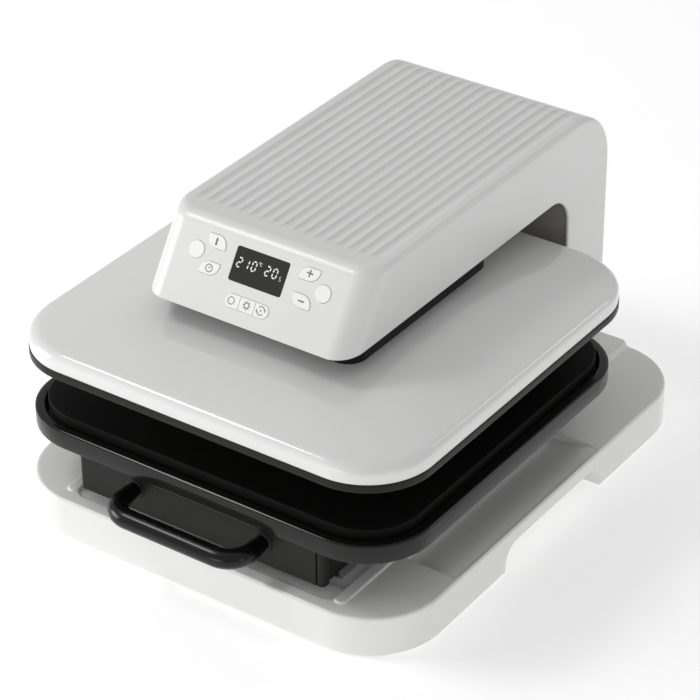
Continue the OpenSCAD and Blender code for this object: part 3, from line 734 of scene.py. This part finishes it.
def build_icons():
    bar_x, timer, plus, minus = -48.75, (-48.0, -11.7), (48.25, 12.6), (48.05, -11.9)
    low, high, auto = (-17.0, -31.2), (-0.9, -30.9), (13.9, -30.9)
    flat_stroke("temperature_bar", [(bar_x, 8.6), (bar_x, 14.8)], 1.8, "key_temperature_cap")
    flat_stroke("timer_ring", ring_path(*timer, 3.3, 32), 0.75, "key_timer_cap", closed=True)
    flat_stroke("timer_hand", [(timer[0] + 1.3, timer[1] + 1.6), (timer[0] - 0.1, timer[1]),
                               (timer[0] - 0.6, timer[1] + 0.5)], 0.65, "key_timer_cap")
    flat_stroke("plus_across", [(plus[0] - 3.15, plus[1]), (plus[0] + 3.15, plus[1])], 1.25, "key_plus_cap")
    flat_stroke("plus_up", [(plus[0], plus[1] - 3.1), (plus[0], plus[1] + 3.1)], 1.25, "key_plus_cap")
    flat_stroke("minus", [(minus[0] - 3.05, minus[1]), (minus[0] + 3.05, minus[1])], 1.25, "key_minus_cap")
    for k in range(4):
        path = arc_path(*low, 3.1, 90 * k + 50, 90 * k + 130, 10)
        flat_stroke("low_ring_%d" % k, path, 0.75, "key_low_cap")
    flat_stroke("high_ring", ring_path(*high, 2.3, 24), 0.75, "key_high_cap", closed=True)
    for k in range(8):
        c, s = math.cos(math.tau * k / 8), math.sin(math.tau * k / 8)
        path = [(high[0] + reach * c, high[1] + reach * s) for reach in (2.9, 3.9)]
        flat_stroke("high_ray_%d" % k, path, 0.8, "key_high_cap")
    for k, start in enumerate((138, -42)):
        end = start - 125
        flat_stroke("auto_arc_%d" % k, arc_path(*auto, 3.7, start, end, 16), 0.75, "key_auto_cap")
        tip = arc_path(*auto, 3.7, end, end, 1)[0]
        for t, turn in enumerate((-150, -240)):
            b = math.radians(end + turn)
            path = [tip, (tip[0] - 1.5 * math.cos(b), tip[1] - 1.5 * math.sin(b))]
            flat_stroke("auto_head_%d_%d" % (k, t), path, 0.6, "key_auto_cap")
    flat_stroke("auto_dot", [(auto[0], auto[1] - 0.8), (auto[0], auto[1] + 0.8)], 0.9, "key_auto_cap")


# ---------------------------------------------------------------- carried-over CAD nodes


def bevel(obj, width, segments=3, angle=35):
    b = obj.modifiers.new("edges", "BEVEL")
    b.width = width * MM
    b.segments = segments
    b.limit_method = "ANGLE"
    b.angle_limit = math.radians(angle)
    b.harden_normals = True
    return b


def dress_nodes():
    """Gives every shown CAD node its finish and soft edges."""
    slots = {s["node"]: s["material_slot"] for s in frame["record"]["subparts"]}
    widths = {"key_": 0.28, "display_window": 0.3, "rear_cover": 0.5, "inlet_body": 0.7, "switch_body": 0.7,
              "power_rocker": 1.0, "arm_skirt": 1.2, "heater_plate": 1.0, "feet": 0.8, "lift_hub": 0.8}
    for name, obj in NODES.items():
        obj.data.materials.clear()
        obj.data.materials.append(FINISH[NODE_LOOKS.get(name, slots[name])])
        for prefix, width in widths.items():
            if name.startswith(prefix):
                bevel(obj, width)
        obj.data.polygons.foreach_set("use_smooth", [True] * len(obj.data.polygons))
        obj.data.set_sharp_from_angle(angle=math.radians(35))


# ---------------------------------------------------------------- stage


def build_stage():
    size = 6.0
    steps = 24
    points, faces = [], []
    for i in range(steps + 1):
        for j in range(steps + 1):
            points.append(((i / steps - 0.5) * size / MM, (j / steps - 0.5) * size / MM, 0))
    for i in range(steps):
        for j in range(steps):
            a = i * (steps + 1) + j
            faces.append((a, a + steps + 1, a + steps + 2, a + 1))
    floor = add_mesh("floor", points, faces)
    floor.data.materials.append(material("floor_white", (0.92, 0.92, 0.92), 0.9, 0.002, 40, 0.0, specular=0.1,
                                         emit=0.40))
    bpy.context.scene.view_settings.view_transform = "Standard"
    world = bpy.data.worlds.new("studio")
    bpy.context.scene.world = world
    world.use_nodes = True
    world.node_tree.nodes["Background"].inputs["Color"].default_value = (1, 1, 1, 1)
    world.node_tree.nodes["Background"].inputs["Strength"].default_value = 0.49
    for name, place, aim, width, length, power in (
            ("key_left", (-2.35, -1.35, 0.75), (0, 0, 0.15), 1.3, 1.0, 27),
            ("top_left", (-1.23, -0.66, 2.12), (0, -0.1, 0.12), 0.62, 0.5, 10),
            ("front_fill", (-0.3, -2.8, 0.6), (0, 0, 0.15), 1.4, 0.8, 7),
            ("strip_back", (1.42, 1.9, 1.4), (0, 0, 0.2), 0.14, 1.4, 2.5),
            ("strip_right", (2.35, -1.15, 0.75), (0, 0, 0.2), 0.10, 1.5, 1.6)):
        light = bpy.data.lights.new(name, "AREA")
        light.shape = "RECTANGLE"
        light.size, light.size_y = width, length
        light.energy = power
        lamp = bpy.data.objects.new(name, light)
        lamp.location = place
        lamp.rotation_euler = (Vector(aim) - Vector(place)).to_track_quat("-Z", "Y").to_euler()
        bpy.context.scene.collection.objects.link(lamp)


def build_camera():
    azimuth, elevation, roll = math.radians(35.15), math.radians(32.3), math.radians(-0.42)
    distance = 2.504
    target = Vector((0.0242, -0.030, 0.1486))
    back = Vector((math.sin(azimuth) * math.cos(elevation), -math.cos(azimuth) * math.cos(elevation),
                   math.sin(elevation)))
    data = bpy.data.cameras.new("camera")
    data.sensor_width = 36.0
    data.lens = 145.84
    data.clip_end = 50
    camera = bpy.data.objects.new("camera", data)
    camera.location = target + back * distance
    turn = (-back).to_track_quat("-Z", "Y").to_matrix() @ Matrix.Rotation(roll, 3, "Z")
    camera.rotation_euler = turn.to_euler()
    bpy.context.scene.collection.objects.link(camera)
    bpy.context.scene.camera = camera


build_base()
build_tray()
build_pad()
build_front()
build_handle()
build_dome()
build_trim()
build_arm()
build_display()
build_icons()
dress_nodes()
build_stage()
build_camera()
